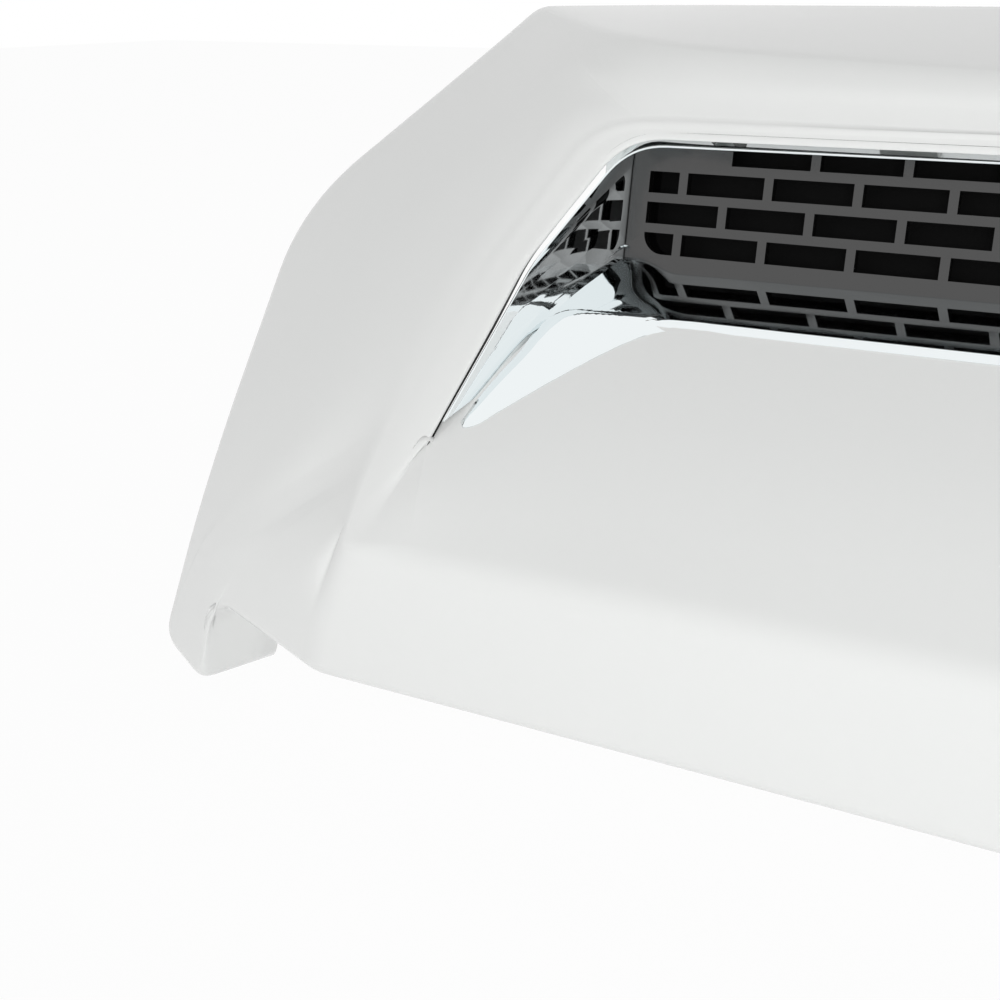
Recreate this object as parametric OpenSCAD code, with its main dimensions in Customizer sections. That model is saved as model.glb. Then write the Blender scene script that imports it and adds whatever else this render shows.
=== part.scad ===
// Hood grille trim: a painted moulding for the front edge of a pickup's hood,
// with a bright plated bezel round the intake and a brick-pattern mesh behind it.
// The origin is the middle of the row of mounting studs, in the plane where the
// studs seat on the hood. X runs across the vehicle, -Y points forward, +Z is up.
// "Half" is a distance from the centre plane, "fwd" one forward of the seat plane,
// "drop" one below the stud axes and "rise" one above them.

/* [Outer face] */
// Half of the width over the two feet
foot_half = 579; // [560:1:600]
// Depth of the feet below the stud axes, at their outer corner
foot_drop = 238; // [228:1:246]
// Half of the width at the inner corner of a foot
foot_inner_half = 550; // [546:1:556]
// Depth of a foot's inner corner below the stud axes
foot_inner_drop = 250; // [240:1:258]
// Half of the width at the top of the notch beside a foot
notch_half = 536; // [526:1:542]
// Depth of the top of that notch below the stud axes
notch_drop = 205; // [196:1:212]
// Half of the width of the straight chin along its lower edge
chin_low_half = 467; // [455:1:480]
// Distance of the chin's lower edge forward of the seat plane
chin_low_fwd = 160; // [152:1:168]
// Depth of the chin's lower edge below the stud axes
chin_low_drop = 212; // [204:1:222]
// Half of the width of the chin along its upper crease
chin_top_half = 450; // [440:1:460]
// Distance of the chin's upper crease forward of the seat plane
chin_top_fwd = 165; // [158:1:175]
// Depth of the chin's upper crease below the stud axes
chin_top_drop = 154; // [146:1:162]
// Angle by which the end faces sweep back from the chin, in degrees
end_sweep = 19; // [14:0.5:24]
// Half of the width where the end edge bends at mid height
waist_half = 546; // [541:1:552]
// Distance of that bend forward of the seat plane
waist_fwd = 122; // [116:1:128]
// Depth of that bend below the stud axes
waist_drop = 150; // [142:1:160]
// Half of the width at the knee of the end edge
knee_half = 556; // [548:1:562]
// Distance of the knee forward of the seat plane
knee_fwd = 38; // [30:1:46]
// Depth of the knee below the stud axes
knee_drop = 54; // [46:1:62]
// Half of the width at the rear top corners
corner_half = 474; // [464:1:484]
// Distance of the rear top corners behind the seat plane
corner_back = 32; // [26:1:34]
// Height of the rear top corners above the stud axes
corner_rise = 27.5; // [24:0.5:30]

/* [Top] */
// Distance of the rear edge behind the seat plane
rear_back = 37; // [36:0.5:45]
// Height of the rear edge above the stud axes
rear_rise = 31; // [29:0.5:36]
// Half of the width where the upper crease turns back to the corners
shoulder_half = 402; // [392:1:412]
// Distance of the upper crease forward of the seat plane, at the shoulders
crease_fwd = 28; // [24:0.5:32]
// Height of the upper crease above the stud axes, at the shoulders
crease_rise = 16.5; // [14:0.5:19]
// How much further forward the upper crease lies at the centre
crease_bow = 8; // [4:0.5:12]
// How much lower the upper crease lies at the centre
crease_sag = 10.5; // [6:0.5:13]

/* [Intake surround] */
// Half of the width of the opening along its top
opening_half = 392; // [386:1:398]
// Distance of the upper lip forward of the seat plane
lip_fwd = 52; // [48:0.5:56]
// Depth of the upper lip below the stud axes
lip_drop = 18.5; // [17:0.5:20]
// Half of the width at the upper end of the opening's sloping side
side_half = 415; // [409:1:420]
// Distance of that point forward of the seat plane
side_fwd = 88; // [82:1:94]
// Depth of that point below the stud axes
side_drop = 61; // [55:1:67]
// Half of the width at the tip of the opening's tail
tail_half = 431; // [426:1:436]
// Distance of the tail's tip forward of the seat plane
tail_fwd = 137; // [133:0.5:141]
// Depth of the tail's tip below the stud axes
tail_drop = 124; // [120:0.5:128]
// How far the ridge beside the tail bows outward
ridge_bow = 5; // [2:0.5:7]
// Half of the width of the opening along its bottom
lower_half = 406; // [402:1:410]
// Distance of the lower lip forward of the seat plane
lower_fwd = 76; // [73:0.5:80]
// Depth of the lower lip below the stud axes
lower_drop = 78; // [77:0.5:81]
// Distance of the band's crease forward of the seat plane, above the opening
band_fwd = 44; // [41:0.5:46]
// Depth of the band's crease below the stud axes, above the opening
band_drop = 5; // [3:0.5:7]
// Half of the width at the upper corners of the band's crease
band_corner_half = 418; // [412:1:424]
// Half of the width at the band's crease beside the opening
band_side_half = 443; // [438:1:448]
// Distance of the band's side crease forward of the seat plane
band_side_fwd = 95; // [90:1:100]
// Depth of the band's side crease below the stud axes
band_side_drop = 70; // [64:1:76]
// Crown of the straight runs at the centre
crown = 1.5; // [0:0.25:2]

/* [Wall] */
// Thickness of the painted moulding
wall = 2.6; // [2:0.1:3]
// Length of the return flange inside the opening
lip_flange = 8; // [6:0.5:10]
// Length of the return flange behind the feet
foot_flange = 38; // [30:1:45]
// Length of the return flange under the chin
chin_flange = 24; // [20:1:30]
// Length of the turned-down hem along the rear edge
hem = 9; // [7:0.5:12]
// Rounding of the opening's upper and side lip
lip_round = 9; // [6:0.5:10]
// Rounding of the creases
crease_round = 10; // [6:0.5:14]
// Rounding of the outer edges
edge_round = 6; // [5:0.5:8]

/* [Mesh] */
// Distance of the mesh's front face forward of the seat plane, at its datum
mesh_fwd = 40; // [38:0.5:42]
// Depth of the mesh's datum below the stud axes
mesh_drop = 48; // [47:0.5:49]
// Lean of the mesh, top to the rear, in degrees
mesh_lean = 10; // [7:0.5:13]
// Distance between the upright bars of one row
brick_pitch = 34; // [32:0.5:36]
// Height from one level bar to the next
row_pitch = 11.6; // [11:0.1:12]
// Number of rows of cells
row_count = 4; // [3:1:4]
// Width of the bars
bar_w = 3.5; // [2.5:0.1:4.5]
// Depth of the bars and the mesh's frame
bar_t = 4; // [3:0.5:5]
// Half of the width of the field of cells
field_half = 388; // [380:1:392]
// Height of the lowest bar's middle below the datum
field_low = 15.3; // [14:0.1:16]
// Corner radius of the field of cells
field_r = 8; // [4:0.5:10]
// Depth of the closed tray behind the cells
tray_depth = 8; // [5:0.5:10]
// Thickness of that tray
tray_t = 1.6; // [1.2:0.1:2.4]

/* [Bezel] */
// Thickness of the plated bezel
bezel_t = 2; // [1.6:0.1:2.4]
// Gap between the bezel and the moulding's lip
bezel_gap = 0.9; // [0.6:0.1:1.4]
// Width of the bezel's rear frame that shows beyond the field of cells
reveal = 7; // [5:0.5:9]
// Length by which the bezel's nose laps over the lower lip
nose_lap = 6.5; // [5:0.5:8]
// Thickness of the bezel's leaf on the lower panel
leaf_t = 1.2; // [0.8:0.1:1.6]

/* [Fixing of the mesh and bezel] */
// Height of the upper screws above the datum, along the mesh
screw_high = 41; // [40:0.5:42]
// Depth of the lower screws below the datum, along the mesh
screw_low = 38.5; // [38:0.5:40]
// Distance between neighbouring screws
screw_pitch = 120; // [100:1:122]
// Diameter of the screws
screw_d = 3.4; // [2.8:0.1:3.6]
// Diameter of the screw heads
screw_head_d = 7.5; // [6.5:0.1:8.5]
// Height of the screw heads
screw_head_h = 2.4; // [1.8:0.1:3]
// Depth of the screws' holes in their bosses
screw_grip = 6; // [5:0.5:6.5]
// Diameter of the screw bosses
boss_d = 7.4; // [7:0.1:8]

/* [Mounting] */
// Distance between neighbouring studs
stud_pitch = 120; // [100:1:128]
// Diameter of the mounting studs
stud_d = 6; // [5:0.5:6]
// Length of the studs behind the seat plane
stud_len = 20; // [14:1:26]
// Diameter of the studs' collars
collar_d = 13; // [11:0.5:14]
// Thickness of the studs' collars
collar_t = 2; // [1.5:0.1:2.5]
// Width of the towers that carry the studs and clips
tower_w = 22; // [18:0.5:26]
// Thickness of the towers
tower_t = 8; // [7:0.5:10]
// Depth of the towers below the stud axes
tower_low = 9; // [8:0.5:9.5]
// Diameter of the push clips' barbs
clip_d = 8.6; // [7.5:0.1:9.5]
// Diameter of the push clips' stems
clip_stem_d = 5; // [4:0.1:6]
// Number of barbs on a push clip
barb_count = 4; // [3:1:5]
// Diameter of the holes in the chin's flange
lower_hole_d = 7; // [5:0.5:8]

/* [Seals] */
// Width of the foam seal along the rear edge
seal_w = 7; // [5:0.5:9]
// Height of the foam seal along the rear edge
seal_h = 4; // [3:0.5:5]

/* [Hidden] */
$fn = 32;

// Clearances shared by mating pieces
seat_gap = 0.15;
thread_gap = 0.1;
hole_gap = 0.8;
foam_gap = 0.5;

// Vector helpers
function mix(a, b, t) = a + (b - a) * t;
function unit(v) = v / norm(v);
function bend(a, p, b, t) = mix(mix(a, p, t), mix(p, b, t), t);
function at(half, fwd, drop) = [-half, -fwd, -drop];

// A point on the mesh's own plane: across, up along it, and behind its front face
function on_mesh(x, up, back = 0) = [
    x,
    -mesh_fwd + up * sin(mesh_lean) + back * cos(mesh_lean),
    -mesh_drop + up * cos(mesh_lean) - back * sin(mesh_lean)];

// The face of an end follows the chin's lower edge and sweeps back from it
function end_fwd(half) = chin_low_fwd - (half - chin_low_half) * tan(end_sweep);

// Loops. Each runs over the same twelve control places, from the top centre round
// the left end to the bottom centre, and is mirrored for the right half.
ridge_step = 0.16;
lip_run = shoulder_half - 36;
crease_run = shoulder_half - 14;
chin_run = 414;
lower_run = lower_half - 60;

edge_loop = [
    at(0, crease_fwd, -crease_rise),
    at(shoulder_half, crease_fwd, -crease_rise),
    at(corner_half, -corner_back, -corner_rise),
    at(knee_half, knee_fwd, knee_drop),
    at(waist_half, waist_fwd, waist_drop),
    at(foot_half, end_fwd(foot_half), foot_drop),
    at(foot_inner_half, end_fwd(foot_inner_half), foot_inner_drop),
    at(notch_half, end_fwd(notch_half), notch_drop),
    at(chin_low_half, chin_low_fwd, chin_low_drop),
    at(chin_run, chin_low_fwd, chin_low_drop),
    at(lower_run, chin_low_fwd, chin_low_drop),
    at(0, chin_low_fwd, chin_low_drop)];

// Down the side, the inner loops keep pace with the outer edge's own length
first_side = 3;
last_side = 8;
function edge_len(k) = k <= first_side ? 0 : norm(edge_loop[k] - edge_loop[k - 1]) + edge_len(k - 1);
side_len = edge_len(last_side);
side_steps = [for (k = [first_side:last_side]) edge_len(k) / side_len];

side_top = at(side_half, side_fwd, side_drop);
tail = at(tail_half, tail_fwd, tail_drop);
lower_corner = at(lower_half, lower_fwd + 2, lower_drop);
band_side = at(band_side_half, band_side_fwd, band_side_drop);
chin_corner = at(chin_top_half, chin_top_fwd, chin_top_drop);

function side_point(t) = mix(side_top, tail, t);
function ridge_point(t) = mix(tail, lower_corner, t) - [ridge_bow * sin(180 * sqrt(t)), 0, 0];
function band_point(t) = mix(band_side, chin_corner, t) - [2.5 * sin(180 * t), 0, 0];

lip_loop = concat(
    [at(0, lip_fwd, lip_drop), at(lip_run, lip_fwd, lip_drop),
     at(opening_half, lip_fwd, lip_drop)],
    [for (t = side_steps) side_point(t)],
    [ridge_point(ridge_step), lower_corner, at(0, lower_fwd, lower_drop)]);

crease_loop = concat(
    [at(0, band_fwd, band_drop), at(crease_run, band_fwd, band_drop),
     at(band_corner_half, band_fwd + 2, band_drop + 3)],
    [for (t = side_steps) band_point(t)],
    [at(chin_run, chin_top_fwd, chin_top_drop),
     at(lower_run, chin_top_fwd, chin_top_drop), at(0, chin_top_fwd, chin_top_drop)]);

// The flanges turn rearward from the outer edge. Behind the top crease the
// surface runs on to the rear edge and is turned down there as a hem.
end_back = [sin(end_sweep), cos(end_sweep), 0];
bezel_turn = [
    [0, 0, -hem], [0, 0, -hem], [1.5, -1, -hem],
    foot_flange * [0.2, 0.33, -0.28], foot_flange * 0.75 * end_back,
    foot_flange * end_back, foot_flange * end_back, foot_flange * end_back,
    chin_flange * [0.15, 1, 0], [0, chin_flange, 0], [0, chin_flange, 0], [0, chin_flange, 0]];
rear_start = 3;
rear_loop = [
    for (k = [0:len(edge_loop) - 1])
        k < rear_start
            ? at(k == 2 ? corner_half + 2 : abs(edge_loop[k][0]), -rear_back, -rear_rise + k)
            : edge_loop[k] + bezel_turn[k] / 2];
hem_loop = [
    for (k = [0:len(edge_loop) - 1])
        (k < rear_start ? rear_loop[k] : edge_loop[k]) + bezel_turn[k]];

// The flange inside the opening runs rearward, and down under the lower lip
lip_turn = [
    [0, 0.9, 0.4], [0, 0.9, 0.4], [-0.2, 0.9, 0.3], [-0.2, 0.9, 0.1], [0, 0.6, 0], [0, 0.45, -0.05],
    [0, 0.35, -0.1], [0, 0.28, -0.12], [0, 0.2, -0.2], [0, 0.35, -0.4],
    [0.1, 0.6, -0.8], [0, 0.6, -0.8]];
throat_loop = [for (k = [0:len(lip_loop) - 1]) lip_loop[k] + lip_flange * lip_turn[k]];

// Lengths over which each loop is rounded at its control places
edge_blend = [0, 38, 7, 34, 42, 9, 10, 14, 5, 5, 5, 0];
lip_pace = norm(tail - side_top) / side_len;
crease_pace = norm(chin_corner - band_side) / side_len;
lip_blend = concat([0, 8, 16, 8], [for (k = [4:7]) edge_blend[k] * lip_pace], [8, 4, 10, 0]);
crease_blend = concat([0, 8, 20, 11], [for (k = [4:7]) edge_blend[k] * crease_pace], [9, 5, 5, 0]);

// Places along the half loop: [first control place, 0 straight or 1 rounded, share]
control_count = len(lip_loop);
straight_steps = [3, 1, 2, 2, 2, 1, 1, 2, 1, 3, 4];
round_steps = 3;
places = [
    for (k = [0:control_count - 2])
        each concat(
            [for (j = [0:straight_steps[k]]) [k, 0, j / straight_steps[k]]],
            k < control_count - 2 ? [for (j = [1:round_steps - 1]) [k + 1, 1, j / round_steps]] : [])];

function run_start(p, b, k) = p[k] + unit(p[k + 1] - p[k]) * b[k];
function run_end(p, b, k) = p[k + 1] - unit(p[k + 1] - p[k]) * b[k + 1];
function along(p, b, s) =
    s[1] == 0
        ? mix(run_start(p, b, s[0]), run_end(p, b, s[0]), s[2])
        : bend(run_end(p, b, s[0] - 1), p[s[0]], run_start(p, b, s[0]), s[2]);

// A crown that dies out towards the shoulders
function arch(x, half) = max(0, 1 - pow(x / half, 2));
function crowned(p, rise, half) = p + rise * arch(p[0], half);

// A value that changes steadily between the control places
function share(v, s) =
    s[1] == 0 ? mix(v[s[0]], v[s[0] + 1], s[2]) : v[s[0]];

// Rounding of a section at one corner
function fillet(a, p, b, r, n) =
    let (ra = min(r, 0.45 * norm(a - p)), rb = min(r, 0.45 * norm(b - p)),
         start = p + unit(a - p) * ra, end = p + unit(b - p) * rb)
    [for (j = [0:n]) bend(start, p, end, j / n)];

lip_radii = [1, 1, 1, 0.9, 0.8, 0.65, 0.55, 0.45, 0.35, 0.4, 0.45, 0.4] * lip_round;
swell_in = [
    [0, -0.3, 0.3], [0, -0.3, 0.3], [0, -0.3, 0.3], [0, -0.3, 0.3], [0, -0.3, 0.3],
    [0, -0.3, 0.3], [0, -0.3, 0.3], [0, -0.3, 0.3], [0, -0.3, 0.3], [0, -1, 1],
    [0, -1.6, 1.6], [0, -1.8, 1.8]];
swell_out = [0, -1.2, 1.2];
band_share = 0.55;
edge_radii = [1, 1, 1, 1, 1.1, 1.4, 1.5, 1.3, 1, 1, 1, 1] * edge_round;

// The flank between the band's crease and the end's edge: a sloped plane and the
// chin's swept end plane, blended into each other
flank_round = 90;
flank_weight = [1, 1, 1, 1, 1, 1, 1, 1, 0.3, 0, 0, 0];
flank_normal = cross(chin_corner - band_side, edge_loop[first_side] - band_side);
function flank_y(p) =
    let (q = p - band_side,
         sloped = band_side[1] - (flank_normal[0] * q[0] + flank_normal[2] * q[2]) / flank_normal[1],
         swept = -end_fwd(-p[0]))
    (sloped + swept + sqrt(pow(sloped - swept, 2) + pow(flank_round, 2))) / 2;
function flank_point(p, b, c, v, s) =
    let (y = flank_y(p) + mix(b[1] - flank_y(b), c[1] - flank_y(c), v),
         w = share(flank_weight, s))
    [p[0], mix(p[1], y, w), p[2]] + 4 * v * (1 - v) * swell_out;

// A loop along the middle of the flank, led round the foot
flank_share = 0.6;
foot_lead = [[-18, 0, 6], [-31, 0, 7], [-8, 0, -4]];
foot_control = 5;
flank_loop = [
    for (k = [0:len(edge_loop) - 1])
        mix(crease_loop[k], edge_loop[k], flank_share)
            + (k >= foot_control && k < last_side ? foot_lead[k - foot_control] : [0, 0, 0])];
flank_blend = concat([for (k = [0:4]) mix(crease_blend[k], edge_blend[k], flank_share)],
    [4, 4, 8, 6, 5, 5, 0]);

function section(s) =
    let (top_bow = s[0] < 2 ? [0, -crease_bow, -crease_sag] : [0, 0, 0],
         a = crowned(along(lip_loop, lip_blend, s), [0, 0, crown], shoulder_half),
         b = crowned(along(crease_loop, crease_blend, s), [0, 0, crown], shoulder_half),
         c = crowned(along(edge_loop, edge_blend, s), top_bow, shoulder_half),
         d = along(rear_loop, edge_blend, s),
         e = along(hem_loop, edge_blend, s),
         t = crowned(along(throat_loop, lip_blend, s), [0, 0, crown], shoulder_half),
         m = s[0] < 2 ? mix(b, c, flank_share) : along(flank_loop, flank_blend, s),
         near = flank_point(mix(b, m, 0.5), b, c, 0.5 * flank_share, s),
         middle = flank_point(m, b, c, flank_share, s),
         far = flank_point(mix(m, c, 0.5), b, c, mix(flank_share, 1, 0.5), s))
    concat(
        [t],
        fillet(t, a, b, share(lip_radii, s), 2),
        [mix(a, b, band_share) + share(swell_in, s)],
        fillet(a, b, near, crease_round, 2),
        [near, middle, far],
        fillet(far, c, d, share(edge_radii, s), 2),
        fillet(c, d, e, 0.7 * edge_round, 1),
        [e]);

// A half ring of sections, mirrored to a full ring
function flipped(row) = [for (p = row) [-p[0], p[1], p[2]]];
function full_ring(rows) =
    concat(rows, [for (i = [len(rows) - 2:-1:1]) flipped(rows[i])]);

// The same surface moved along its own normals
function moved(g, d) =
    let (n = len(g), m = len(g[0]))
    [for (i = [0:n - 1])
        [for (j = [0:m - 1])
            let (du = g[(i + 1) % n][j] - g[(i + n - 1) % n][j],
                 dv = g[i][min(j + 1, m - 1)] - g[i][max(j - 1, 0)])
            g[i][j] + unit(cross(du, dv)) * d]];

// A closed solid between two ring surfaces with the same layout
module ring_solid(outer, inner) {
    n = len(outer);
    m = len(outer[0]);
    points = concat([for (row = outer) each row], [for (row = inner) each row]);
    function o(i, j) = (i % n) * m + j;
    function q(i, j) = n * m + (i % n) * m + j;
    // Each square is split along its shorter diagonal
    function split(g, i, j, a, b, c, d) =
        norm(g[i][j] - g[(i + 1) % n][j + 1]) < norm(g[(i + 1) % n][j] - g[i][j + 1])
            ? [[a, b, c], [a, c, d]] : [[a, b, d], [b, c, d]];
    faces = concat(
        [for (i = [0:n - 1], j = [0:m - 2]) each
            split(outer, i, j, o(i, j), o(i + 1, j), o(i + 1, j + 1), o(i, j + 1))],
        [for (i = [0:n - 1], j = [0:m - 2]) each [
            for (f = split(inner, i, j, q(i, j), q(i + 1, j), q(i + 1, j + 1), q(i, j + 1)))
                [f[0], f[2], f[1]]]],
        [for (i = [0:n - 1]) each [
            [o(i, 0), q(i + 1, 0), o(i + 1, 0)], [o(i, 0), q(i, 0), q(i + 1, 0)],
            [o(i, m - 1), o(i + 1, m - 1), q(i + 1, m - 1)],
            [o(i, m - 1), q(i + 1, m - 1), q(i, m - 1)]]]);
    polyhedron(points, faces, convexity = 8);
}

panel_skin = full_ring([for (s = places) section(s)]);

// The half space outside a slanting wall's middle surface, given by two points
// of its outer face in a YZ section, used to end bosses and towers in that wall
module beyond_wall(a, b, reach) {
    lean = atan2(b[2] - a[2], b[1] - a[1]);
    translate([0, a[1], a[2]])
        rotate([lean, 0, 0])
            translate([-reach, -2 * reach, -0.7 * wall])
                cube([2 * reach, 4 * reach, 2 * reach]);
}

// Screw places, as [x, up along the mesh]
screw_per_side = 3;
screw_places = [
    for (k = [-screw_per_side:screw_per_side], up = [screw_high, -screw_low])
        [k * screw_pitch, up]];

module at_screw(s) {
    translate(on_mesh(s[0], s[1]))
        rotate([-mesh_lean, 0, 0])
            rotate([-90, 0, 0])
                children();
}

module screw_boss(s) {
    reach = 60;
    upper = s[1] > 0;
    rise = crown * arch(s[0], shoulder_half);
    a = (upper ? lip_loop[0] : lip_loop[11]) + [0, 0, rise];
    b = (upper ? crease_loop[0] : crease_loop[11]) + [0, 0, rise];
    difference() {
        at_screw(s)
            translate([0, 0, -bezel_t - 2 * seat_gap - reach])
                cylinder(d = boss_d, h = reach);
        translate([s[0], 0, 0])
            if (upper) beyond_wall(a, b, reach * 2);
            else beyond_wall(b, a, reach * 2);
        at_screw(s)
            translate([0, 0, -bezel_t - 2 * seat_gap - screw_grip])
                cylinder(d = screw_d + thread_gap, h = screw_grip + 1);
    }
}

// Towers under the top, which carry the studs and the push clips in turn
tower_per_side = 5;
tower_places = [for (k = [-tower_per_side:tower_per_side]) k * stud_pitch / 2];
function has_stud(x) = round(abs(x) / (stud_pitch / 2)) % 2 == 1;

module tower(x) {
    reach = 60;
    bow = arch(x, shoulder_half);
    a = edge_loop[0] + [0, -crease_bow, -crease_sag] * bow;
    b = rear_loop[0];
    bore = has_stud(x) ? stud_d : clip_stem_d;
    difference() {
        translate([x - tower_w / 2, -tower_t, -tower_low])
            cube([tower_w, tower_t, tower_low + reach]);
        translate([x, 0, 0]) beyond_wall(a, b, reach);
        translate([x, -tower_t - 1, 0])
            rotate([-90, 0, 0])
                cylinder(d = bore + thread_gap, h = tower_t + 2);
        if (has_stud(x))
            translate([x, -collar_t - seat_gap, 0])
                rotate([-90, 0, 0])
                    cylinder(d = collar_d + 2 * seat_gap, h = collar_t + 1);
    }
}

// Holes in the chin's flange, under every stud
lower_hole_fwd = chin_low_fwd - chin_flange * 0.6;
lower_hole_places = [for (x = tower_places) if (has_stud(x)) x];

module outer_panel() {
    color("whitesmoke")
    difference() {
        union() {
            ring_solid(panel_skin, moved(panel_skin, wall));
            for (s = screw_places) screw_boss(s);
            for (x = tower_places) tower(x);
        }
        for (x = lower_hole_places)
            translate([x, -lower_hole_fwd, -chin_low_drop - wall])
                cylinder(d = lower_hole_d, h = 4 * wall);
    }
}

// The bezel's skin. It starts at the rear on the mesh's plane and comes forward
// to its front edge, which follows the opening inside the moulding's lip.
field_high = row_count * row_pitch - field_low;
rear_half = field_half + reveal;
rear_up = field_high - bar_w / 2 + reveal / 2;
rear_down = field_low + reveal * 0.7;
rim_side = 11;
rim_high = 3;
rim_low = 6;
inset = bezel_gap + bezel_t;
tip_stop = 0.8;

// A loop on the mesh's plane: the bezel's rear edge, or the rim of its flange. Its
// side points stay clear of the upper corner, and the foot and the floor begin
// some way in from the lower one.
rear_side = [0.25, 0.9];
foot_run = 14;
floor_run = 34;
function rear_loop_at(half, high, low) = concat(
    [on_mesh(0, high, -seat_gap), on_mesh(-lip_run, high, -seat_gap), on_mesh(-half, high, -seat_gap)],
    [for (t = side_steps) on_mesh(-half, mix(high, -low, mix(rear_side[0], rear_side[1], t)), -seat_gap)],
    [for (x = [rear_half - foot_run, rear_half - floor_run, 0]) on_mesh(-x, -low, -seat_gap)]);
bezel_rear = rear_loop_at(rear_half, rear_up, rear_down);
bezel_rim = rear_loop_at(rear_half + rim_side, rear_up + rim_high, rear_down + rim_low);

// The foot of the side wall passes over the painted ridge
ridge_lift = 2.8;
foot_rise = [0, 0, 9];

// Along the lower lip the front edge laps over the panel as a nose
panel_fall = unit([0, lower_fwd - chin_top_fwd, lower_drop - chin_top_drop]);
panel_up = [0, panel_fall[2], -panel_fall[1]];
nose = panel_fall * nose_lap + panel_up * inset;
bezel_lip = concat(
    [for (k = [0, 1]) lip_loop[k] + [0, 1, -inset]],
    [lip_loop[2] + [inset, 1, -inset]],
    [for (t = side_steps) side_point(t * tip_stop) + [inset, 2.5, 4 * t - 1]],
    [ridge_point(0.5) + [1, 0, 0] + panel_up * (inset + ridge_lift),
     lower_corner + [2, 0, 0] + nose, lip_loop[11] + nose]);

// The floor comes forward nearly level, crests at the lip and turns down over it
crest_lift = inset + 0.4;
bezel_crest = concat(
    [for (k = [0:8]) mix(bezel_rear[k], bezel_lip[k], 0.75) + (k < last_side ? [0, 0, 0] : foot_rise)],
    [mix(bezel_rear[9], bezel_lip[9], 0.8),
     lower_corner + [12, 1, crest_lift], lip_loop[11] + [0, 1, crest_lift]]);

// In each lower corner the crest swells up to meet the foot of the side wall
swell = [0, 8, 8];
swell_start = 350;
swell_run = 38;
function ease(t) = let (u = min(max(t, 0), 1)) u * u * (3 - 2 * u);
function swelling(p, s) = s[0] > last_side ? ease((-p[0] - swell_start) / swell_run) : 0;

floor_bow = 0.75;
crest_round = 5;
bezel_rear_blend = [0, 5, 9, 2, 2, 2, 2, 2, 2, 8, 8, 0];
bezel_lip_blend = concat([0, 5, 15, 7], [for (k = [4:7]) edge_blend[k] * lip_pace], [5, 8, 10, 0]);

bezel_skin = full_ring([
    for (s = places)
        let (r = along(bezel_rim, bezel_rear_blend, s),
             a = along(bezel_rear, bezel_rear_blend, s),
             crest = crowned(along(bezel_crest, bezel_lip_blend, s), [0, 0, crown], shoulder_half),
             b = crest + swell * swelling(crest, s),
             c = crowned(along(bezel_lip, bezel_lip_blend, s), [0, 0, crown], shoulder_half))
        concat([r], fillet(r, a, b, bezel_t, 1),
            [for (v = [0.35, 0.7]) mix(a, b, v) + [0, 0, floor_bow * 4 * v * (1 - v)]],
            fillet(a, b, c, crest_round, 2), [c])]);

// The leaf: a thin plate on the lower panel, from its tip below the tail up to the
// swelling. Each station has a place and the shares of the panel's slope between
// which the leaf lies there.
leaf_gap = 0.6;
leaf_stations = [
    [[9, 0, 0.25], 0.13, 0.15], [[9, 0, 1 / 3], 0.08, 0.19], [[9, 0, 1 / 2], 0.04, 0.22],
    [[9, 0, 5 / 6], 0.01, 0.24], [[10, 1, 1 / 3], 0.01, 0.24], [[10, 1, 2 / 3], 0.02, 0.22],
    [[10, 0, 0], 0.03, 0.19], [[10, 0, 0.03], 0.04, 0.12], [[10, 0, 0.06], 0.05, 0.07]];
function panel_slope(s, r) = let (g = section(s)) mix(g[3], g[4], r / band_share);
leaf_rows = [
    for (q = leaf_stations)
        let (p = panel_slope(q[0], q[1]), r = panel_slope(q[0], q[2]),
             low = panel_up * leaf_gap, high = panel_up * (leaf_gap + leaf_t))
        [p + low, p + high, r + high, r + low]];

module leaf() {
    n = len(leaf_rows);
    polyhedron([for (row = leaf_rows) each row],
        concat(
            [[1, 2, 3], [0, 1, 3], [4 * n - 2, 4 * n - 3, 4 * n - 4], [4 * n - 1, 4 * n - 2, 4 * n - 4]],
            [for (i = [0:n - 2], j = [0:3])
                let (a = 4 * i + j, b = 4 * i + (j + 1) % 4)
                each [[b + 4, b, a], [a + 4, b + 4, a]]]));
}

module plate(t, back) {
    translate(on_mesh(0, 0, back))
        rotate([90 - mesh_lean, 0, 0])
            translate([0, 0, -t])
                linear_extrude(t) children();
}

module rounded_field(half, low, high, r) {
    translate([-half, -low + r]) square([2 * half, low + high - 2 * r]);
    translate([-half + r, -low]) square([2 * half - 2 * r, low + high]);
    for (x = [-half + r, half - r], y = [-low + r, high - r])
        translate([x, y]) circle(r);
}

// Ears at the screws, which the mesh and the bezel both have
module ear(p) {
    foot = p[1] > 0 ? rear_up + rim_high / 2 : -rear_down - rim_low / 2;
    translate([p[0] - boss_d, min(foot, p[1])]) square([2 * boss_d, abs(p[1] - foot)]);
    translate(p) circle(boss_d);
}

module screw_holes() {
    for (s = screw_places) translate(s) circle(d = screw_d + hole_gap);
}

// The ears are a little thinner than the flange that carries them
ear_step = 0.1;
module chrome_bezel() {
    color("silver") {
        ring_solid(bezel_skin, moved(bezel_skin, bezel_t));
        leaf();
        mirror([1, 0, 0]) leaf();
        for (s = screw_places)
            plate(bezel_t - 2 * ear_step, ear_step - bezel_t - seat_gap)
                difference() {
                    ear(s);
                    translate(s) circle(d = screw_d + hole_gap);
                }
    }
}

// Cells of the mesh: upright bars stagger by half a pitch from row to row
module cells() {
    count = ceil(field_half / brick_pitch);
    intersection() {
        field(0);
        for (row = [0:row_count - 1]) {
            shift = row % 2 == 0 ? 0 : 0.5;
            cut = row == row_count - 1 ? 2 : 0;
            translate([0, row * row_pitch - field_low + bar_w / 2])
                for (k = [-count - 1 + cut:count - cut])
                    translate([(k + shift) * brick_pitch + bar_w / 2, 0])
                        square([brick_pitch - bar_w, row_pitch - bar_w]);
        }
    }
}

module field(grow) {
    rounded_field(field_half + grow, field_low - bar_w / 2 + grow, field_high - bar_w / 2 + grow,
        field_r + grow);
}

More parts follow.
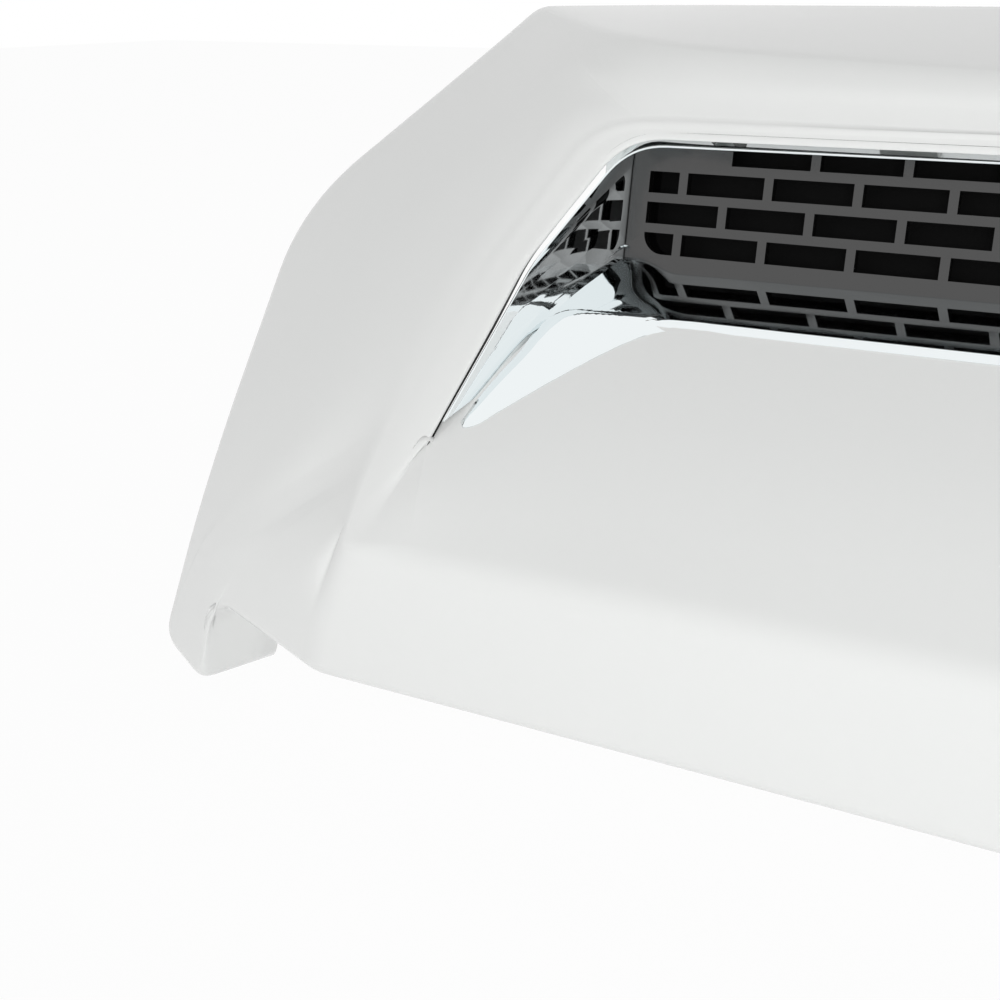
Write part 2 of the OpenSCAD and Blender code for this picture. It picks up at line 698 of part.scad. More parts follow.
// The cells are blind: a shallow tray of the same moulding closes them behind. Its
// wall stands a step outside the field and starts inside the mesh's frame.
tray_step = 0.3;
module mesh_grille() {
    color("dimgray") {
        plate(bar_t, 0)
            difference() {
                union() {
                    rounded_field(rear_half + rim_side, rear_down + rim_low,
                        rear_up + rim_high, field_r);
                    for (s = screw_places) ear(s);
                }
                cells();
                screw_holes();
            }
        difference() {
            plate(tray_depth + tray_t + bar_t / 2, bar_t / 2) field(tray_step + tray_t);
            plate(tray_depth + bar_t, 0) field(tray_step);
        }
    }
}

module grille_screws() {
    color("gray")
        for (s = screw_places)
            at_screw(s)
                translate([0, 0, bar_t + seat_gap]) {
                    cylinder(d = screw_head_d, h = screw_head_h);
                    translate([0, 0, -bar_t - bezel_t - 2 * seat_gap - screw_grip])
                        cylinder(d = screw_d, h = bar_t + bezel_t + 2 * seat_gap + screw_grip);
                }
}

module mounting_studs() {
    color("goldenrod")
        for (x = tower_places)
            if (has_stud(x))
                translate([x, 0, 0])
                    rotate([-90, 0, 0]) {
                        translate([0, 0, -tower_t]) cylinder(d = stud_d, h = tower_t + stud_len);
                        translate([0, 0, -collar_t]) cylinder(d = collar_d, h = collar_t);
                    }
}

clip_len = 18;
clip_flange_t = 1.5;
clip_neck = 3;
barb_taper = 0.3;
module push_clip() {
    barb_step = (clip_len - clip_flange_t - clip_neck) / barb_count;
    rotate_extrude()
        polygon(concat(
            [[0, -tower_t], [clip_stem_d / 2, -tower_t], [clip_stem_d / 2, seat_gap],
             [collar_d / 2, seat_gap], [collar_d / 2, seat_gap + clip_flange_t],
             [clip_stem_d / 2, seat_gap + clip_flange_t]],
            [for (k = [0:barb_count - 1])
                let (z = clip_flange_t + clip_neck + k * barb_step)
                each [[clip_stem_d / 2, z], [clip_d / 2 - barb_taper * k, z + 0.06 * barb_step],
                      [clip_stem_d / 2, z + 0.6 * barb_step]]],
            [[clip_stem_d / 4, clip_len], [0, clip_len]]));
}

module push_clips() {
    color("ivory")
        for (x = tower_places)
            if (!has_stud(x))
                translate([x, 0, 0]) rotate([-90, 0, 0]) push_clip();
}

// Foam along the underside of the top, just inside the hem
seal_half = 440;
module rear_seal() {
    color("black")
        translate([-seal_half, 0, 0]) seal_strip();
}

module seal_strip() {
    a = edge_loop[0] + [0, -crease_bow, -crease_sag];
    b = rear_loop[0];
    lean = atan2(b[2] - a[2], b[1] - a[1]);
    translate([0, b[1], b[2]])
        rotate([lean, 0, 0])
            translate([0, -seal_w - wall - edge_round, -wall - seal_h - foam_gap])
                cube([2 * seal_half, seal_w, seal_h]);
}

outer_panel();
chrome_bezel();
mesh_grille();
grille_screws();
mounting_studs();
push_clips();
rear_seal();
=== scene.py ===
"""Looks for the hood grille trim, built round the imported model.

Sizes are in millimetres while a piece is worked out, and in metres in its mesh.
Points are (x, y, z) in the model's frame: x across, -y forward, z up. A "place" is
a spot on the half loop from the top centre round the left end to the bottom centre.
"""
import math

import bmesh
import bpy
import numpy as np
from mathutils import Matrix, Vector
from mathutils.bvhtree import BVHTree


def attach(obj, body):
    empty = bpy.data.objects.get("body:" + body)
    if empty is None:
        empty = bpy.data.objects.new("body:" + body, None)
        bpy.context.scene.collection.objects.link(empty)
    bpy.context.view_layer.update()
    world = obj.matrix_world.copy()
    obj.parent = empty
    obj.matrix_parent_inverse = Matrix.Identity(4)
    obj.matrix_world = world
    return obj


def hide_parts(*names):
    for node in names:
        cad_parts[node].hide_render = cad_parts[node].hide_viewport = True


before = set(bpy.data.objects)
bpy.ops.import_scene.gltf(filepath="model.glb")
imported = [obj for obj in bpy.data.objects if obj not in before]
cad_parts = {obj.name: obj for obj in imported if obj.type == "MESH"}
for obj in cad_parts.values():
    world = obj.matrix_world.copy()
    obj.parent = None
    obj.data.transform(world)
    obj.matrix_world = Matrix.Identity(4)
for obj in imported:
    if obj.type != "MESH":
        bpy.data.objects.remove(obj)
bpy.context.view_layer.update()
scene = bpy.context.scene

MM = 0.001


def vec(*p):
    return np.array(p, float)


def at(half, fwd, drop):
    return vec(-half, -fwd, -drop)


def mix(a, b, t):
    return a + (b - a) * t


def unit(v):
    return v / np.linalg.norm(v)


def bend(a, p, b, t):
    return mix(mix(a, p, t), mix(p, b, t), t)


# Camera
camera = bpy.data.objects.new("camera", bpy.data.cameras.new("camera"))
scene.collection.objects.link(camera)
scene.camera = camera
camera.location = (-0.14748, -0.57564, 0.03867)
camera.rotation_euler = (math.radians(70.9), 0, math.radians(29.7))
camera.data.lens = 54
camera.data.sensor_width = 36
camera.data.clip_start = 0.01

# Sizes of the moulding, as in the model
FOOT_HALF, FOOT_DROP = 579, 238
FOOT_INNER_HALF, FOOT_INNER_DROP = 550, 250
NOTCH_HALF, NOTCH_DROP = 536, 205
CHIN_LOW_HALF, CHIN_LOW_FWD, CHIN_LOW_DROP = 467, 160, 212
CHIN_TOP_HALF, CHIN_TOP_FWD, CHIN_TOP_DROP = 450, 165, 154
END_SWEEP = math.radians(19)
CREASE_FWD, CREASE_RISE, CREASE_BOW, CREASE_SAG = 28, 16.5, 8, 10.5
SHOULDER_HALF = 402
LIP_FWD, LIP_DROP, OPENING_HALF = 52, 18.5, 392
LOWER_HALF, LOWER_FWD, LOWER_DROP = 406, 76, 78
BAND_FWD, BAND_DROP = 44, 5
RIDGE_BOW, RIDGE_STEP = 5, 0.16
LIP_RUN, CREASE_RUN, CHIN_RUN, LOWER_RUN = 366, 388, 414, 346
CROWN = 1.5
WALL, LIP_FLANGE, FOOT_FLANGE, CHIN_FLANGE, HEM = 2.6, 8, 38, 24, 9
LIP_ROUND, CREASE_ROUND, EDGE_ROUND = 9, 10, 6
HEM_ROUND = 0.7 * EDGE_ROUND
BAND_BOW = 2.5
LOOP = 12
MIRROR = (-1, 1, 1)
SAME = 0.01


def end_fwd(half):
    return CHIN_LOW_FWD - (half - CHIN_LOW_HALF) * math.tan(END_SWEEP)


EDGE = [
    at(0, CREASE_FWD, -CREASE_RISE), at(SHOULDER_HALF, CREASE_FWD, -CREASE_RISE),
    at(474, -32, -27.5), at(556, 38, 54), at(546, 122, 150),
    at(FOOT_HALF, end_fwd(FOOT_HALF), FOOT_DROP),
    at(FOOT_INNER_HALF, end_fwd(FOOT_INNER_HALF), FOOT_INNER_DROP),
    at(NOTCH_HALF, end_fwd(NOTCH_HALF), NOTCH_DROP),
    at(CHIN_LOW_HALF, CHIN_LOW_FWD, CHIN_LOW_DROP), at(CHIN_RUN, CHIN_LOW_FWD, CHIN_LOW_DROP),
    at(LOWER_RUN, CHIN_LOW_FWD, CHIN_LOW_DROP), at(0, CHIN_LOW_FWD, CHIN_LOW_DROP)]
FIRST_SIDE, LAST_SIDE = 3, 8
lengths = [0.0]
for k in range(FIRST_SIDE + 1, LAST_SIDE + 1):
    lengths.append(lengths[-1] + float(np.linalg.norm(EDGE[k] - EDGE[k - 1])))
SIDE_LEN = lengths[-1]
SIDE_STEPS = [v / SIDE_LEN for v in lengths]

SIDE_TOP, TAIL = at(415, 88, 61), at(431, 137, 124)
LOWER_CORNER = at(LOWER_HALF, LOWER_FWD + 2, LOWER_DROP)
BAND_SIDE = at(443, 95, 70)
CHIN_CORNER = at(CHIN_TOP_HALF, CHIN_TOP_FWD, CHIN_TOP_DROP)


def side_point(t):
    return mix(SIDE_TOP, TAIL, t)


def ridge_point(t):
    return mix(TAIL, LOWER_CORNER, t) - vec(RIDGE_BOW * math.sin(math.pi * math.sqrt(t)), 0, 0)


def band_point(t):
    return mix(BAND_SIDE, CHIN_CORNER, t) - vec(BAND_BOW * math.sin(math.pi * t), 0, 0)


LIP = [at(half, LIP_FWD, LIP_DROP) for half in (0, LIP_RUN, OPENING_HALF)]
LIP += [side_point(t) for t in SIDE_STEPS]
LIP += [ridge_point(RIDGE_STEP), LOWER_CORNER, at(0, LOWER_FWD, LOWER_DROP)]
CREASE = [at(0, BAND_FWD, BAND_DROP), at(CREASE_RUN, BAND_FWD, BAND_DROP),
          at(418, BAND_FWD + 2, BAND_DROP + 3)]
CREASE += [band_point(t) for t in SIDE_STEPS]
CREASE += [at(half, CHIN_TOP_FWD, CHIN_TOP_DROP) for half in (CHIN_RUN, LOWER_RUN, 0)]

END_BACK = vec(math.sin(END_SWEEP), math.cos(END_SWEEP), 0)
FLANGE_TURN = [vec(0, 0, -HEM), vec(0, 0, -HEM), vec(1.5, -1, -HEM),
               FOOT_FLANGE * vec(0.2, 0.33, -0.28), FOOT_FLANGE * 0.75 * END_BACK,
               FOOT_FLANGE * END_BACK, FOOT_FLANGE * END_BACK, FOOT_FLANGE * END_BACK,
               CHIN_FLANGE * vec(0.15, 1, 0), vec(0, CHIN_FLANGE, 0), vec(0, CHIN_FLANGE, 0),
               vec(0, CHIN_FLANGE, 0)]
REAR = []
for k in range(LOOP):
    if k < FIRST_SIDE:
        REAR.append(at(476 if k == 2 else abs(EDGE[k][0]), -37, -31 + k))
    else:
        REAR.append(EDGE[k] + FLANGE_TURN[k] / 2)
HEMS = [(REAR[k] if k < FIRST_SIDE else EDGE[k]) + FLANGE_TURN[k] for k in range(LOOP)]
LIP_TURN = [vec(0, .9, .4), vec(0, .9, .4), vec(-.2, .9, .3), vec(-.2, .9, .1), vec(0, .6, 0),
            vec(0, .45, -.05), vec(0, .35, -.1), vec(0, .28, -.12), vec(0, .2, -.2),
            vec(0, .35, -.4), vec(.1, .6, -.8), vec(0, .6, -.8)]
THROAT = [LIP[k] + LIP_FLANGE * LIP_TURN[k] for k in range(LOOP)]

EDGE_BLEND = [0, 38, 7, 34, 42, 9, 10, 14, 5, 5, 5, 0]
LIP_PACE = float(np.linalg.norm(TAIL - SIDE_TOP)) / SIDE_LEN
CREASE_PACE = float(np.linalg.norm(CHIN_CORNER - BAND_SIDE)) / SIDE_LEN
LIP_SIDE_BLEND = [EDGE_BLEND[k] * LIP_PACE for k in range(FIRST_SIDE + 1, LAST_SIDE)]
LIP_BLEND = [0, 8, 16, 8] + LIP_SIDE_BLEND + [8, 4, 10, 0]
CREASE_BLEND = [0, 8, 20, 11, *(EDGE_BLEND[k] * CREASE_PACE for k in range(4, LAST_SIDE)), 9, 5, 5, 0]

# Steps on each straight run and round each corner, with one close to every corner
STRAIGHT = [12, 3, 6, 8, 8, 5, 4, 7, 3, 10, 14]
ROUND = 10
END_STEP = 0.04
PLACES = []
for k in range(LOOP - 1):
    steps = sorted([j / STRAIGHT[k] for j in range(STRAIGHT[k] + 1)] + [END_STEP, 1 - END_STEP])
    PLACES += [(k, 0, t) for t in steps]
    if k < LOOP - 2:
        PLACES += [(k + 1, 1, j / ROUND) for j in range(1, ROUND)]


def along(p, b, s):
    """The point of loop p, with corners rounded over b, at place s."""
    k = s[0]
    if s[1] == 0:
        d = unit(p[k + 1] - p[k])
        return mix(p[k] + d * b[k], p[k + 1] - d * b[k + 1], s[2])
    start = p[k] - unit(p[k] - p[k - 1]) * b[k]
    end = p[k] + unit(p[k + 1] - p[k]) * b[k]
    return bend(start, p[k], end, s[2])


def arch(x):
    return max(0.0, 1 - (x / SHOULDER_HALF) ** 2)


def crowned(p, rise=(0, 0, CROWN)):
    return p + np.array(rise, float) * arch(p[0])


def share(v, s):
    """The value at place s of a list with one value for each corner."""
    return mix(v[s[0]], v[s[0] + 1], s[2]) if s[1] == 0 else v[s[0]]


ARM = 0.45


def fillet(a, p, b, r, n):
    """The corner p between a and b, rounded over r or most of a short side."""
    ra = min(r, ARM * float(np.linalg.norm(a - p)))
    rb = min(r, ARM * float(np.linalg.norm(b - p)))
    start, end = p + unit(a - p) * ra, p + unit(b - p) * rb
    return [bend(start, p, end, j / n) for j in range(n + 1)]


LIP_RADII = [v * LIP_ROUND for v in (1, 1, 1, .9, .8, .65, .55, .45, .35, .4, .45, .4)]
CREASE_RADII = [v * CREASE_ROUND for v in (1, 1, 1, .8, .6, .5, .45, .4, .4, .9, 1, 1)]
SWELL_IN = [vec(0, -.3, .3)] * 9 + [vec(0, -1, 1), vec(0, -1.6, 1.6), vec(0, -1.8, 1.8)]
SWELL_OUT = vec(0, -1.2, 1.2)
EDGE_RADII = [v * EDGE_ROUND for v in (1, 1, 1, 1, 1.1, 1.4, 1.5, 1.3, 1, 1, 1, 1)]
FLANK_SHARE = 0.6
FACE_GIVE, FACE_SCALE, TINY = 0.002, 100, 1e-9


def bending(a, b):
    r2 = ((a[:, None] - b[None]) ** 2).sum(2)
    return 0.5 * r2 * np.log(np.maximum(r2, TINY))


def smooth_face(points, give):
    """The surface y(x, z) that passes near the points with the least bending."""
    p = np.array(points)[:, [0, 2]] / FACE_SCALE
    n = len(p)
    m = np.zeros((n + 3, n + 3))
    m[:n, :n] = bending(p, p) + give * np.eye(n)
    m[:n, n:] = np.c_[np.ones(n), p]
    m[n:, :n] = m[:n, n:].T
    w = np.linalg.solve(m, np.r_[np.array(points)[:, 1], 0, 0, 0])

    def height(q):
        v = np.array([[q[0], q[2]]]) / FACE_SCALE
        return float((bending(v, p) @ w[:n])[0] + w[n] + v[0] @ w[n + 1:])

    return height


FADE = 6


def flank_weight(s):
    """Full on the flank, and nothing on the chin and the lower panel."""
    last = LAST_SIDE - 1
    if s[0] < last or s[:2] == (last, 1):
        return 1.0
    return 1 - s[2] ** FADE if s[0] == last else 0.0


SHOULDER = 2
TOP_BOW = vec(0, -CREASE_BOW, -CREASE_SAG)


def top_bow(s):
    return TOP_BOW if s[0] < SHOULDER else vec(0, 0, 0)


# The face between the band's crease and the outer edge, from its two borders
NEAREST, MIDDLE_HALF = 4, 160
borders = []
for s in PLACES[::3]:
    if s[0] < LAST_SIDE:
        borders.append(crowned(along(CREASE, CREASE_BLEND, s)))
        borders.append(crowned(along(EDGE, EDGE_BLEND, s), top_bow(s)))
end_crease = [mix(CREASE[LAST_SIDE], EDGE[LAST_SIDE], t) for t in (.2, .4, .6, .8)]
borders = [p for i, p in enumerate(borders + end_crease)
           if all(np.linalg.norm(p - q) > NEAREST for q in borders[:i])]
borders += [p * vec(*MIRROR) for p in borders if 1 < -p[0] < MIDDLE_HALF]
flank_y = smooth_face(borders, FACE_GIVE)


def flank_point(p, v, s):
    on_face = vec(p[0], mix(p[1], flank_y(p), flank_weight(s)), p[2])
    return on_face + 4 * v * (1 - v) * SWELL_OUT


FOOT_LEAD = {5: vec(-18, 0, 6), 6: vec(-31, 0, 7), 7: vec(-8, 0, -4)}
FLANK = [mix(CREASE[k], EDGE[k], FLANK_SHARE) + FOOT_LEAD.get(k, vec(0, 0, 0))
         for k in range(LOOP)]
FLANK_BLEND = [mix(CREASE_BLEND[k], EDGE_BLEND[k], FLANK_SHARE) for k in range(5)]
FLANK_BLEND += [4, 4, 8, 6, 5, 5, 0]
BAND_MIDDLE = 0.55
ARC, HEM_ARC = 8, 4
BAND_STEPS = (.2, .4, .6, .8)
FLANK_STEPS = np.linspace(0, 1, 11)[1:-1]


def section(s):
    """The outer face across place s, from the throat to the hem."""
    a = crowned(along(LIP, LIP_BLEND, s))
    b = crowned(along(CREASE, CREASE_BLEND, s))
    c = crowned(along(EDGE, EDGE_BLEND, s), top_bow(s))
    d = along(REAR, EDGE_BLEND, s)
    e = along(HEMS, EDGE_BLEND, s)
    t = crowned(along(THROAT, LIP_BLEND, s))
    m = mix(b, c, FLANK_SHARE) if s[0] < SHOULDER else along(FLANK, FLANK_BLEND, s)
    near = flank_point(mix(b, m, .5), .5 * FLANK_SHARE, s)
    middle = flank_point(m, FLANK_SHARE, s)
    far = flank_point(mix(m, c, .5), mix(FLANK_SHARE, 1, .5), s)
    band = mix(a, b, BAND_MIDDLE) + share(SWELL_IN, s)
    row = [t] + fillet(t, a, b, share(LIP_RADII, s), ARC)
    start = row[-1]
    knee = fillet(a, b, near, share(CREASE_RADII, s), ARC)
    row += [spline([start, band, knee[0]], v) for v in BAND_STEPS]
    row += knee
    edge = fillet(far, c, d, share(EDGE_RADII, s), ARC)
    row += [spline([knee[-1], near, middle, far, edge[0]], v) for v in FLANK_STEPS]
    row += edge
    row += fillet(c, d, e, HEM_ROUND, HEM_ARC) + [e]
    return row


def spline(points, v):
    """A smooth curve through the points, read at a share of its length."""
    p = [np.asarray(q) for q in points]
    cuts = [0.0]
    for i in range(1, len(p)):
        cuts.append(cuts[-1] + float(np.linalg.norm(p[i] - p[i - 1])))
    u = v * cuts[-1]
    i = min(max(int(np.searchsorted(cuts, u)) - 1, 0), len(p) - 2)
    h = cuts[i + 1] - cuts[i]
    x = (u - cuts[i]) / h

    def slope(j):
        if j == 0:
            return (p[1] - p[0]) / (cuts[1] - cuts[0])
        if j == len(p) - 1:
            return (p[-1] - p[-2]) / (cuts[-1] - cuts[-2])
        left = (p[j] - p[j - 1]) / (cuts[j] - cuts[j - 1])
        right = (p[j + 1] - p[j]) / (cuts[j + 1] - cuts[j])
        w = (cuts[j] - cuts[j - 1]) / (cuts[j + 1] - cuts[j - 1])
        return mix(left, right, w)

    m0, m1 = slope(i) * h, slope(i + 1) * h
    return ((2 * x ** 3 - 3 * x ** 2 + 1) * p[i] + (x ** 3 - 2 * x ** 2 + x) * m0
            + (-2 * x ** 3 + 3 * x ** 2) * p[i + 1] + (x ** 3 - x ** 2) * m1)


def full_ring(rows):
    flipped = [[p * vec(*MIRROR) for p in row] for row in rows[-2:0:-1]]
    return np.array(rows + flipped)


def moved(g, d):
    """The ring surface moved along its own normals."""
    du = np.roll(g, -1, axis=0) - np.roll(g, 1, axis=0)
    dv = np.empty_like(g)
    dv[:, 1:-1] = g[:, 2:] - g[:, :-2]
    dv[:, 0] = g[:, 1] - g[:, 0]
    dv[:, -1] = g[:, -1] - g[:, -2]
    n = np.cross(du, dv)
    n /= np.maximum(np.linalg.norm(n, axis=2, keepdims=True), TINY)
    return g + n * d


def ring_mesh(name, outer, inner):
    """A closed shell between two ring surfaces with the same layout."""
    n, m = outer.shape[:2]
    points = np.concatenate([outer.reshape(-1, 3), inner.reshape(-1, 3)]) * MM
    faces = []
    for i in range(n):
        j = (i + 1) % n
        for k in range(m - 1):
            faces.append((i * m + k, i * m + k + 1, j * m + k + 1, j * m + k))
            a, b = n * m + i * m + k, n * m + j * m + k
            faces.append((a, b, b + 1, a + 1))
        faces.append((i * m, j * m, n * m + j * m, n * m + i * m))
        last = m - 1
        faces.append((i * m + last, n * m + i * m + last, n * m + j * m + last, j * m + last))
    return mesh_object(name, points, faces)


def mesh_object(name, points, faces, smooth=True):
    data = bpy.data.meshes.new(name)
    data.from_pydata([tuple(p) for p in points], [], faces)
    data.validate()
    if smooth:
        data.shade_smooth()
    obj = bpy.data.objects.new(name, data)
    scene.collection.objects.link(obj)
    return obj


# The outer face of the painted shell
rows = [section(s) for s in PLACES]
keep = [rows[0]]
for r in rows[1:]:
    if np.linalg.norm(np.array(r) - np.array(keep[-1]), axis=1).max() > SAME:
        keep.append(r)
skin = full_ring(keep)

# The mesh's plane, and the places of the screws on it
MESH_FWD, MESH_DROP, MESH_LEAN = 40, 48, math.radians(10)
REAR_HALF, REAR_UP, REAR_DOWN = 395, 32.85, 20.2
RIM_SIDE, RIM_HIGH, RIM_LOW = 11, 3, 6
SEAT_GAP, BEZEL_T = 0.15, 2.0
SCREWS = [(k * 120, up) for k in range(-3, 4) for up in (41, -38.5)]


def on_mesh(x, up, back=0.0):
    return vec(x, -MESH_FWD + up * math.sin(MESH_LEAN) + back * math.cos(MESH_LEAN),
               -MESH_DROP + up * math.cos(MESH_LEAN) - back * math.sin(MESH_LEAN))


def strip_mesh(name, outer, inner):
    """A closed shell between two sheets with the same layout, open at no side."""
    n, m = outer.shape[:2]
    points = np.concatenate([outer.reshape(-1, 3), inner.reshape(-1, 3)]) * MM
    faces = []
    for i in range(n - 1):
        for k in range(m - 1):
            a, b = i * m + k, (i + 1) * m + k
            faces.append((a, a + 1, b + 1, b))
            faces.append((n * m + a, n * m + b, n * m + b + 1, n * m + a + 1))
        for k, flip in ((0, False), (m - 1, True)):
            a, b = i * m + k, (i + 1) * m + k
            f = (a, b, n * m + b, n * m + a)
            faces.append(f[::-1] if flip else f)
    for i, flip in ((0, True), (n - 1, False)):
        for k in range(m - 1):
            a = i * m + k
            f = (a, a + 1, n * m + a + 1, n * m + a)
            faces.append(f[::-1] if flip else f)
    return mesh_object(name, points, faces)


def moved_sheet(g, d):
    """The same sheet moved along its own normals."""
    du = np.gradient(g, axis=0)
    dv = np.gradient(g, axis=1)
    n = np.cross(du, dv)
    n /= np.maximum(np.linalg.norm(n, axis=2, keepdims=True), TINY)
    return g + n * d


def mirrored(rows):
    return np.array([[p * vec(*MIRROR) for p in row] for row in rows[:0:-1]] + list(rows))


# Bezel, upper part: the roof and the side walls, from the rim of the flange on the
# mesh's plane to the front edge inside the moulding's lip
INSET, TUCK = 2.9, 1.7
TIP_STOP = 0.88
WALL_LOW = 27
SIDE_START = 0.25


def rear_loop(half, high, low):
    top = [on_mesh(-x, high, -SEAT_GAP) for x in (0, LIP_RUN, half)]
    return top + [on_mesh(-half, mix(high, -low, mix(SIDE_START, 1, t)), -SEAT_GAP)
                  for t in SIDE_STEPS]


rear_edge = rear_loop(REAR_HALF, REAR_UP, WALL_LOW)
rim_edge = rear_loop(REAR_HALF + RIM_SIDE, REAR_UP + RIM_HIGH, WALL_LOW)
front_edge = [LIP[k] + vec(TUCK if k == 2 else 0, 1, -TUCK) for k in range(3)]
front_edge += [side_point(t * TIP_STOP) + vec(mix(TUCK, INSET, t), 2.5, 4 * t - 1)
               for t in SIDE_STEPS]
REAR_BLEND = [0, 5, 9, 2, 2, 2, 2, 2, 0]
FRONT_BLEND = [0, 5, 15, 7] + LIP_SIDE_BLEND + [0]
ROOF_STEPS = np.linspace(0.12, 0.985, 12)
roof_rows = []
for s in PLACES:
    if s[0] >= LAST_SIDE:
        continue
    r = along(rim_edge, REAR_BLEND, s)
    a = along(rear_edge, REAR_BLEND, s)
    c = crowned(along(front_edge, FRONT_BLEND, s))
    row = [r] + fillet(r, a, c, BEZEL_T, 4)
    row += [mix(a, c, v) for v in ROOF_STEPS] + [c]
    if roof_rows and np.abs(np.array(row) - np.array(roof_rows[-1])).max() < SAME:
        continue
    roof_rows.append(row)
roof = mirrored(roof_rows)

# Bezel, lower part: the floor, the lip with its bead, and the leaf at each end. It
# is worked out as heights over the plan: a nearly level floor, the slope of the
# lower panel, and a swelling in each corner where the leaf runs up to the wall.
PANEL_FALL = (CHIN_TOP_DROP - LOWER_DROP) / (CHIN_TOP_FWD - LOWER_FWD)
LEAF_T = 1.8
LEAF_LIFT = LEAF_T / math.cos(math.atan(PANEL_FALL))
LIP_LINE = -LOWER_FWD
FLOOR_FALL = 0.288
BORDER_ROLL = 4.0


def ease(v):
    u = min(max(v, 0.0), 1.0)
    return u * u * (3 - 2 * u)


def lower_of(a, b, k):
    """The lower of two heights, rounded into each other over k."""
    h = max(k - abs(a - b), 0.0) / k
    return min(a, b) - h * h * k / 4


def higher_of(a, b, k):
    return -lower_of(-a, -b, k)


width = skin.shape[1]
corners = [i * width + k for i in range(len(skin) // 2 + 1) for k in range(width - 1)]
shell_sheet = BVHTree.FromPolygons(
    [tuple(p) for p in skin.reshape(-1, 3)],
    [(c, c + 1, c + width + 1, c + width) for c in corners])
PROBE_FROM, PROBE_LENGTH = -60, 90


def panel_height(x, y):
    """Height of the lower panel's outer face, or None beyond it."""
    hit = shell_sheet.ray_cast(Vector((x, y, PROBE_FROM)), Vector((0, 0, -1)), PROBE_LENGTH)[0]
    return hit.z if hit is not None else None


FLOOR_REAR, FLOOR_TOP = -44, -68.2
BULB_REAR, BULB_TOP, BULB_FALL = -42.4, -63.1, 0.45
BULB_START, BULB_RUN = -372, 18
LIP_END, LIP_FADE = -376, 20
LIP_EDGE = -79.1
BEAD_DROP, BEAD_RUN = 0.5, 0.5
NOSE_DROP, NOSE_START, NOSE_RUN = 1.2, 1.0, 0.9
LEAF_CLEAR = 1.5


def plan_height(x, y):
    """Height of the bezel's floor, lip and leaf over a point of the plan."""
    slope = -LOWER_DROP + LEAF_LIFT + PANEL_FALL * (y - LIP_LINE)
    floor = FLOOR_TOP - FLOOR_FALL * (FLOOR_REAR - y)
    corner = ease((BULB_START - x) / BULB_RUN)
    level = mix(floor, BULB_TOP - BULB_FALL * (BULB_REAR - y), corner)
    lip = ease((x - LIP_END) / LIP_FADE)
    z = lower_of(slope, level, mix(9.0, 4.0, lip))
    d = LIP_EDGE - y
    nose = floor - BEAD_DROP * ease(d / BEAD_RUN)
    nose -= NOSE_DROP * ease((d - NOSE_START) / NOSE_RUN)
    z = mix(z, nose, lip) + CROWN * arch(x)
    under = panel_height(x, y) if y < LIP_LINE else None
    return z if under is None or lip > 0.5 else higher_of(z, under + LEAF_CLEAR, LEAF_CLEAR)


def trace(points, count):
    """Evenly spaced places on a smooth line through plan points."""
    return [spline([vec(*p) for p in points], v) for v in np.linspace(0, 1, count)]


# Outlines of the leaf in plan, from its tip to the lip and from the mesh to its tip
LEAF_TIP, LEAF_INNER, FLOOR_FRONT = (-421.6, -124.0), -344, -80.9
REAR_START, FLOOR_BACK = -396.5, -43.3
leaf_low = [LEAF_TIP, (-420.0, -125.4), (-417.0, -124.6), (-408.4, -117.5), (-394.7, -105.4),
            (-381, -94.1), (-373.9, -89), (-364, -83.6), (-354.1, -81.2),
            (LEAF_INNER, FLOOR_FRONT)]
leaf_side = [(REAR_START, FLOOR_BACK), (-398.5, -47), (-403.5, -58), (-409.5, -74),
             (-410.5, -87), (-411.8, -95), (-416.5, -107), (-420.2, -118), LEAF_TIP]
ROWS_LEAF, ROWS_FLOOR, SIDE_FINE = 44, 26, 200
front_run = trace(leaf_low, ROWS_LEAF)
side_run = trace(leaf_side, SIDE_FINE)[::-1]
rear_run = [vec(mix(REAR_START, LEAF_INNER, v), FLOOR_BACK)
            for v in np.linspace(0, 1, ROWS_LEAF)]
# Shares across from the front edge to the rear, close together over the lip
cuts = np.concatenate([[0.0, .02, .04, .06, .08, .1],
                       np.linspace(.11, .3, 30), np.linspace(.33, 1, 28)])
right_run = [vec(LEAF_INNER, FLOOR_FRONT + (FLOOR_BACK - FLOOR_FRONT) * v) for v in cuts]


def side_at(v):
    u = v * (len(side_run) - 1)
    i = min(int(u), len(side_run) - 2)
    return mix(side_run[i], side_run[i + 1], u - i)


BORDER_DROP, BORDER_END = 0.9, -340
border = np.array(trace(leaf_low, 120) + trace(leaf_side[4:], 60))


def floor_point(x, y):
    z = plan_height(x, y)
    if x < BORDER_END:
        near = float(np.sqrt(((border - vec(x, y)) ** 2).sum(1)).min())
        z -= BORDER_DROP * max(0.0, 1 - near / BORDER_ROLL) ** 2
    return vec(x, y, z)


floor_rows = []
for i in range(ROWS_LEAF):
    u = i / (ROWS_LEAF - 1)
    row = []
    for j, v in enumerate(cuts):
        p = mix(front_run[i], rear_run[i], v) + mix(side_at(v), right_run[j], u)
        p = p - mix(mix(front_run[0], front_run[-1], u), mix(rear_run[0], rear_run[-1], u), v)
        row.append(floor_point(p[0], p[1]))
    floor_rows.append(row)
for x in np.linspace(LEAF_INNER, 0, ROWS_FLOOR)[1:]:
    floor_rows.append([floor_point(x, q[1]) for q in right_run])
rim = [on_mesh(0, -REAR_DOWN - d, -SEAT_GAP) for d in (0.8, RIM_LOW)]
for row in floor_rows:
    row += [vec(row[-1][0], p[1], p[2]) for p in rim]
low = mirrored(floor_rows[::-1])


COAT_ROUGH = 0.03


